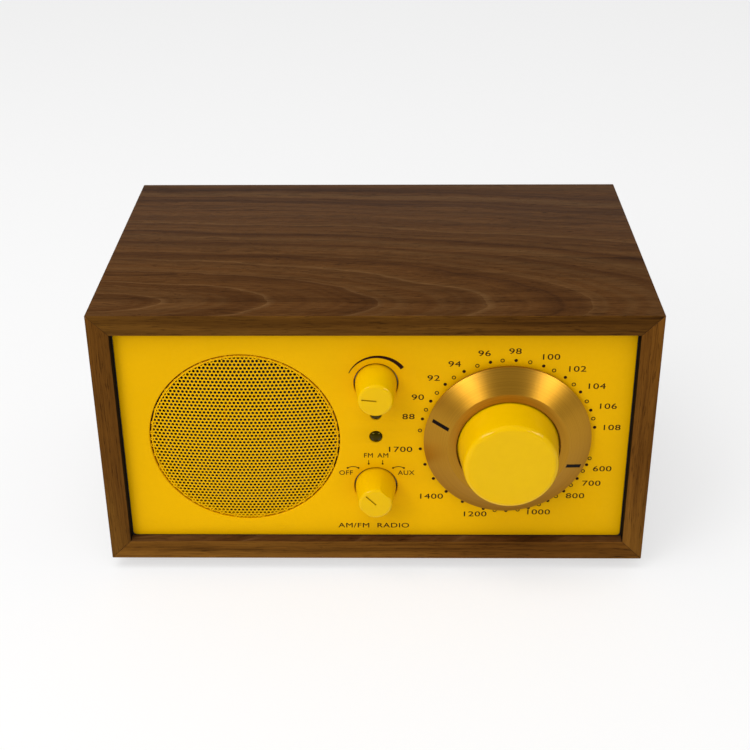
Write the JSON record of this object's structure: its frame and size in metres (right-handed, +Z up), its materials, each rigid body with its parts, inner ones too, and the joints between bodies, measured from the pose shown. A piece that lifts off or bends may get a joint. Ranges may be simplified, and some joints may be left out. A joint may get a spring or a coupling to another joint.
{
  "type": "tabletop radio",
  "caption": "Compact mains table radio: mitred wooden cabinet, recessed yellow face with round speaker grille, geared tuning dial and two small rotary knobs.",
  "frame": {"origin": "middle of the bounding box, on the surface that the feet stand on", "axes": "+X to the right seen from the front, +Y from the front to the back, +Z up"},
  "size_m": [0.213, 0.1634, 0.114],
  "materials": {
    "walnut": "satin lacquered veneer",
    "yellow_paint": "satin",
    "yellow_plastic": "gloss",
    "gold_anodised": "circular brushed",
    "brass_gear": "machined",
    "smoked_plastic": "gloss",
    "black_plastic": "moulded",
    "black_rubber": "matte",
    "steel": "zinc plated",
    "dark_steel": "satin",
    "nickel": "nickel plated",
    "ferrite": "sintered",
    "cone_paper": "matt",
    "spider_cloth": "woven",
    "copper_wire": "enamelled wire",
    "circuit_board": "solder mask",
    "aluminium": "extruded"
  },
  "bodies": {
    "cabinet": {"cabinet_top": "walnut", "cabinet_bottom": "walnut", "cabinet_left": "walnut", "cabinet_right": "walnut", "face_panel": "yellow_paint", "speaker_grille": "yellow_paint", "power_lamp": "smoked_plastic", "tuning_lamp": "smoked_plastic", "bass_port": "black_plastic", "rear_panel": "black_plastic", "mains_inlet": "black_plastic", "dc_jack": "black_plastic", "aux_jack": "black_plastic", "headphone_jack": "black_plastic", "rod_holder": "black_plastic", "ring_gear": "black_plastic", "filter_capacitor_1": "black_plastic", "filter_capacitor_2": "black_plastic", "foot_front_left": "black_rubber", "foot_front_right": "black_rubber", "foot_rear_left": "black_rubber", "foot_rear_right": "black_rubber", "speaker_surround": "black_rubber", "speaker_gasket": "black_rubber", "control_plate": "steel", "speaker_top_plate": "steel", "speaker_yoke": "steel", "speaker_basket": "dark_steel", "transformer_core": "dark_steel", "tuning_capacitor": "nickel", "volume_potentiometer": "nickel", "volume_nut": "nickel", "source_switch": "nickel", "source_nut": "nickel", "wireless_module": "nickel", "antenna_connector": "nickel", "speaker_magnet": "ferrite", "ferrite_rod": "ferrite", "speaker_spider": "spider_cloth", "transformer_coil": "copper_wire", "antenna_coil": "copper_wire", "tuner_board": "circuit_board", "main_board": "circuit_board", "heatsink": "aluminium"},
    "tuning": {"tuning_knob": "yellow_plastic", "tuning_spindle": "steel", "sun_gear": "brass_gear"},
    "dial": {"dial_ring": "gold_anodised", "planet_carrier": "steel"},
    "planet_1": {"planet_gear_1": "brass_gear"},
    "planet_2": {"planet_gear_2": "brass_gear"},
    "planet_3": {"planet_gear_3": "brass_gear"},
    "volume": {"volume_knob": "yellow_plastic", "volume_shaft": "steel"},
    "source": {"source_knob": "yellow_plastic", "source_shaft": "steel"},
    "cone": {"speaker_cone": "cone_paper", "dust_cap": "cone_paper", "voice_coil": "copper_wire"},
    "antenna_switch": {"antenna_switch_slider": "black_plastic"}
  },
  "joints": [
    {"name": "tuning_knob_turn", "type": "hinge", "parent": "cabinet", "child": "tuning", "pos_m": [0.0509, -0.0596, 0.0598], "axis": [0, 1, 0], "range_deg": [-64.5, 768]},
    {"name": "dial_turn", "type": "hinge", "parent": "cabinet", "child": "dial", "pos_m": [0.0509, -0.0596, 0.0598], "axis": [0, 1, 0], "range_deg": [-12.9, 153.6]},
    {"name": "planet_1_spin", "type": "hinge", "parent": "dial", "child": "planet_1", "pos_m": [0.0599, -0.0487, 0.0598], "axis": [0, 1, 0], "range_deg": [-409.6, 34.4]},
    {"name": "planet_2_spin", "type": "hinge", "parent": "dial", "child": "planet_2", "pos_m": [0.0464, -0.0487, 0.06759], "axis": [0, 1, 0], "range_deg": [-409.6, 34.4]},
    {"name": "planet_3_spin", "type": "hinge", "parent": "dial", "child": "planet_3", "pos_m": [0.0464, -0.0487, 0.05201], "axis": [0, 1, 0], "range_deg": [-409.6, 34.4]},
    {"name": "volume_turn", "type": "hinge", "parent": "cabinet", "child": "volume", "pos_m": [0.0004, -0.0596, 0.0836], "axis": [0, 1, 0], "range_deg": [-55.6, 224.4]},
    {"name": "source_turn", "type": "hinge", "parent": "cabinet", "child": "source", "pos_m": [0.0001, -0.0596, 0.0376], "axis": [0, 1, 0], "range_deg": [0, 90]},
    {"name": "cone_travel", "type": "slide", "parent": "cabinet", "child": "cone", "axis": [0, 1, 0], "range_m": [-0.0015, 0.0015], "stiffness_N_per_m": 1000, "deforming": ["speaker_surround", "speaker_spider"]},
    {"name": "antenna_switch_slide", "type": "slide", "parent": "cabinet", "child": "antenna_switch", "axis": [-1, 0, 0], "range_m": [0, 0.004]}
  ],
  "couplings": [
    {"joint": "dial_turn", "follows": "tuning_knob_turn", "ratio": 0.2},
    {"joint": "planet_1_spin", "follows": "tuning_knob_turn", "ratio": -0.53333},
    {"joint": "planet_2_spin", "follows": "tuning_knob_turn", "ratio": -0.53333},
    {"joint": "planet_3_spin", "follows": "tuning_knob_turn", "ratio": -0.53333}
  ]
}
